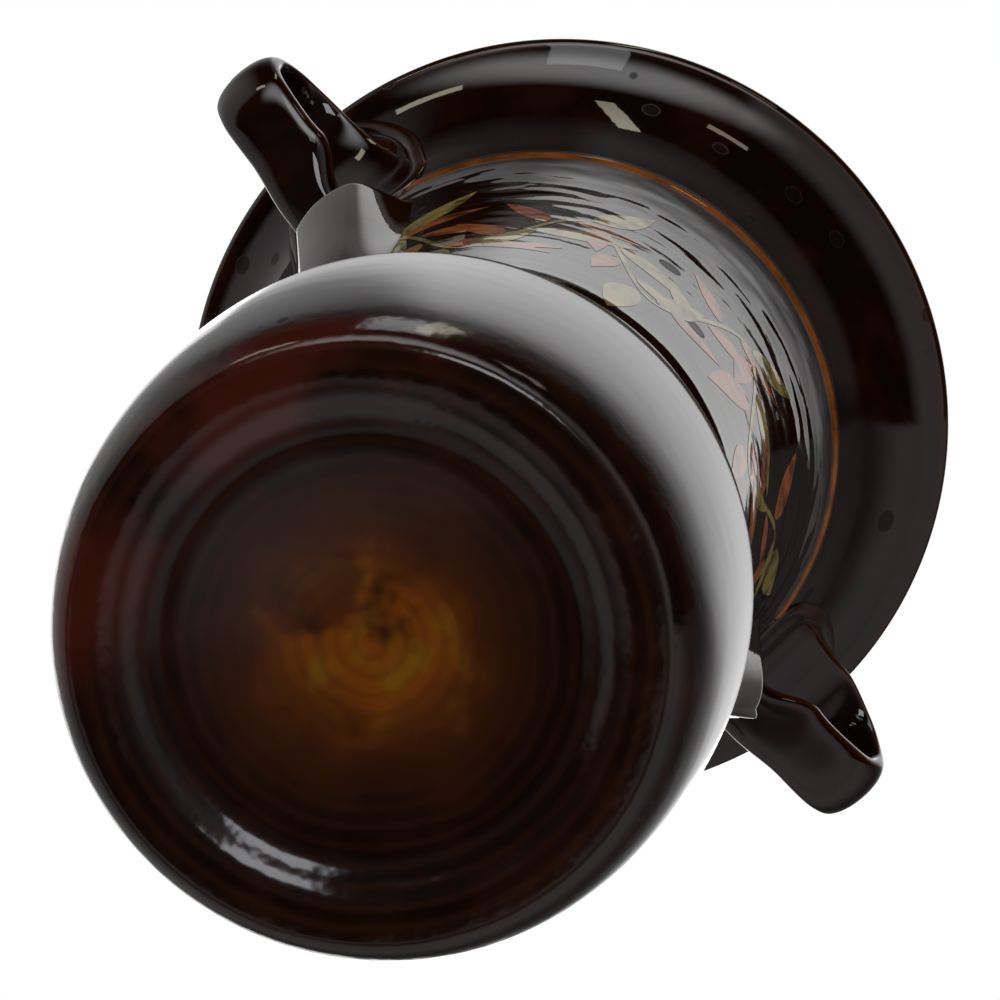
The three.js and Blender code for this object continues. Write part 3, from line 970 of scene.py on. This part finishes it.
def paintBand(name, setting):
    tree, keys = bandTree(setting)
    obj = linkObject(name, bpy.data.meshes.new(name))
    brush = obj.modifiers.new("slipBand", "NODES")
    brush.node_group = tree
    brush[keys["Neck"]] = neck
    brush[keys["Slip"]] = slipGlaze(setting)
    for label in ("Height", "Wave", "Waves", "Dabs", "Dab Length", "Line Width", "Lift", "Seed"):
        brush[keys[label]] = setting[label]
    depsgraph = bpy.context.evaluated_depsgraph_get()
    mesh = bpy.data.meshes.new_from_object(obj.evaluated_get(depsgraph))
    obj.modifiers.remove(brush)
    obj.data = mesh
    return obj


band = paintBand("slipBand", bandSet)
print("slip painted:", len(band.data.polygons), "faces")


# which clay piece each shell stands for

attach(bulb, "root")
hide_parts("bulb")
for obj, node in ((neck, "neck"), (rim, "flared_rim")):
    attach(obj, "root")
    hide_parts(node)
for sideName, strap, collar, tail in ears:
    for obj, node in ((strap, "_handle"), (collar, "_handle_collar"), (tail, "_handle_tail")):
        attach(obj, "root")
        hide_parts(sideName + node)
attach(band, "root")
print("shells seated")


# floor: seen only from above, so the camera under the foot looks through it

floorSet = {"size": 3.0, "colour": (0.86, 0.86, 0.85, 1)}


def layFloor(setting):
    half = setting["size"] / 2
    mesh = bpy.data.meshes.new("paleFloor")
    corners = [(-half, -half, 0), (half, -half, 0), (half, half, 0), (-half, half, 0)]
    mesh.from_pydata(corners, [], [(0, 1, 2, 3)])
    floor = linkObject("paleFloor", mesh)
    material = bpy.data.materials.new("paleFloor")
    material.use_nodes = True
    tree = material.node_tree
    tree.nodes.clear()
    path = newNode(tree, "ShaderNodeLightPath")
    geometry = newNode(tree, "ShaderNodeNewGeometry")
    front = mathNode(tree, "SUBTRACT", 1.0, geometry.outputs["Backfacing"])
    shown = times(tree, path.outputs["Is Camera Ray"], front)
    clear = newNode(tree, "ShaderNodeBsdfTransparent")
    pale = newNode(tree, "ShaderNodeBsdfDiffuse")
    pale.inputs["Color"].default_value = setting["colour"]
    pick = newNode(tree, "ShaderNodeMixShader")
    join(tree, shown, pick.inputs[0])
    join(tree, clear.outputs[0], pick.inputs[1])
    join(tree, pale.outputs[0], pick.inputs[2])
    join(tree, pick.outputs[0], newNode(tree, "ShaderNodeOutputMaterial").inputs["Surface"])
    mesh.materials.append(material)
    return floor


layFloor(floorSet)


# studio: white overhead, grey below, a pale wall, a bench edge and a few lamps

studioSet = {
    "fill": 0.8,
    "low": ((0.0, 0.24), (0.1, 0.22), (0.2, 0.12), (0.28, 0.05), (0.36, 0.03), (0.46, 0.02), (0.52, 0.008)),
    "high": ((0.0, 0.0), (0.82, 0.0), (0.85, 0.06), (0.895, 0.16), (0.922, 0.45), (0.945, 0.9), (0.965, 1.08)),
    "zenith": (-0.08, 0.0, 0.997), "dim": (0.766, 0.643, 0.0), "dimZone": (0.1, 0.26, 0.12, 1.0),
    "bench": (0.9135, -0.4067, 0.0), "benchZone": (0.0, 0.08), "benchEnd": (-0.95, -0.82),
    "benchRise": (-0.05, -0.36, 0.0, 0.38), "benchFade": (-0.8, -0.45, 0.2, 1.0),
    "dark": (-0.05, 0.25, -0.967), "darkZone": (0.968, 0.986),  # straight under the foot
    "wall": (-0.57, 0.82, 0.0), "wallZone": (0.35, 0.7, 0.0, 0.36), "wallMiddle": 0.35, "wallRise": (0.62, 0.45),
    "farWall": (0.682, 0.731, 0.0), "farWallZone": (-0.01, 0.03),
    "farWallRise": (0.75, -0.05, 0.03, 0.33), "farWallFoot": (-0.6, -0.3),
    "window": (-0.644, -0.58, -0.5), "windowZone": (0.8, 0.97, 0.0, 2.3), "windowFoot": (-0.55, -0.35),
    "shade": (-0.87, 0.5, 0.0), "shadeZone": (0.16, 0.3, 1.0, 0.3),  # where the white overhead ends
    "farShade": (0.985, 0.17, 0.0), "farShadeZone": (0.28, 0.4, 1.0, 0.3),
}


def levelRamp(tree, value, steps):
    ramp = newNode(tree, "ShaderNodeValToRGB")
    ramp.color_ramp.interpolation = "EASE"
    join(tree, value, ramp.inputs[0])
    stops = ramp.color_ramp.elements
    stops.remove(stops[-1])
    for index, (place, level) in enumerate(steps):
        stop = stops[0] if index == 0 else stops.new(place)
        stop.position = place
        stop.color = (level, level, level, 1)
    return ramp.outputs[0]


def buildStudio(setting):
    world = bpy.data.worlds.new("studio")
    scene.world = world
    world.use_nodes = True
    tree = world.node_tree
    tree.nodes.clear()
    path = newNode(tree, "ShaderNodeLightPath")
    heading = newNode(tree, "ShaderNodeTexCoord").outputs["Generated"]
    rise = alongAxis(tree, heading, (0, 0, 1))
    height = mathNode(tree, "MULTIPLY_ADD", rise, 0.5, 0.5)

    def zone(value, key):
        return mapRange(tree, value, *setting[key])

    def facing(key):
        return zone(alongAxis(tree, heading, setting[key]), key + "Zone")

    low = times(tree, levelRamp(tree, height, setting["low"]), facing("dim"))
    bench = times(tree, zone(rise, "benchRise"), zone(rise, "benchFade"))
    low = mixColours(tree, times(tree, facing("bench"), zone(rise, "benchEnd")), low, bench)
    low = mixColours(tree, facing("dark"), low, (0, 0, 0, 1))
    offWall = mathNode(tree, "ABSOLUTE", mathNode(tree, "SUBTRACT", rise, setting["wallMiddle"]))
    wall = times(tree, facing("wall"), zone(offWall, "wallRise"))
    upward = mathNode(tree, "MULTIPLY_ADD", alongAxis(tree, heading, setting["zenith"]), 0.5, 0.5)
    high = levelRamp(tree, upward, setting["high"])
    for key in ("shade", "farShade"):
        high = times(tree, high, facing(key))
    farWall = times(tree, times(tree, zone(rise, "farWallRise"), zone(rise, "farWallFoot")), facing("farWall"))
    window = times(tree, facing("window"), zone(rise, "windowFoot"))
    mirror = mathNode(tree, "MAXIMUM", mathNode(tree, "MAXIMUM", low, wall), farWall)
    mirror = mathNode(tree, "ADD", mathNode(tree, "ADD", mirror, window), high)
    mirrored = mathNode(tree, "MAXIMUM", path.outputs["Is Glossy Ray"], path.outputs["Is Transmission Ray"])
    fill = (setting["fill"], setting["fill"], setting["fill"], 1)
    seen = mixColours(tree, mirrored, fill, mirror)
    seen = mixColours(tree, path.outputs["Is Camera Ray"], seen, (1, 1, 1, 1))
    back = newNode(tree, "ShaderNodeBackground")
    join(tree, seen, back.inputs["Color"])
    join(tree, back.outputs[0], newNode(tree, "ShaderNodeOutputWorld").inputs["Surface"])


lampSet = (
    # name, turn, rise and roll in degrees, distance, width, height, level, colour
    ("nearWindow", 220, -6, 0, 0.23, 0.055, 0.11, 1.6, (0.94, 0.96, 1.0)),
    ("lowWindow", 240, -58, 0, 1.2, 0.36, 0.36, 4.5, (0.93, 0.95, 1.0)),
    ("stripHigh", 226, 31, -14, 1.4, 0.1, 0.5, 2.2, (1.0, 0.93, 0.7)),
    ("stripLow", 190, -3, 0, 1.4, 0.3, 0.12, 3.6, (1.0, 0.93, 0.7)),
    ("stripSide", 249, 11, 0, 1.4, 0.22, 0.1, 2.4, (1.0, 0.8, 0.65)),
    ("overhead", 85, 62, 0, 1.5, 1.0, 1.0, 1.2, (1.0, 1.0, 1.0)),
)


def hangLamp(name, turn, rise, roll, distance, width, height, level, colour):
    data = bpy.data.lights.new(name, "AREA")
    data.shape = "RECTANGLE"
    data.size = width
    data.size_y = height
    data.energy = level * math.pi * width * height
    data.color = colour
    lamp = bpy.data.objects.new(name, data)
    a, e = math.radians(turn), math.radians(rise)
    away = Vector((math.cos(a) * math.cos(e), math.sin(a) * math.cos(e), math.sin(e)))
    lamp.location = Vector((0, 0, 0.15)) + away * distance
    rolled = Quaternion((0, 0, 1), math.radians(roll))
    lamp.rotation_euler = (away.to_track_quat("Z", "Y") @ rolled).to_euler()
    lamp.visible_camera = False
    lamp.visible_diffuse = not name.startswith("strip")  # a strip only glints
    scene.collection.objects.link(lamp)


buildStudio(studioSet)
for lamp in lampSet:
    hangLamp(*lamp)
print("studio lit")
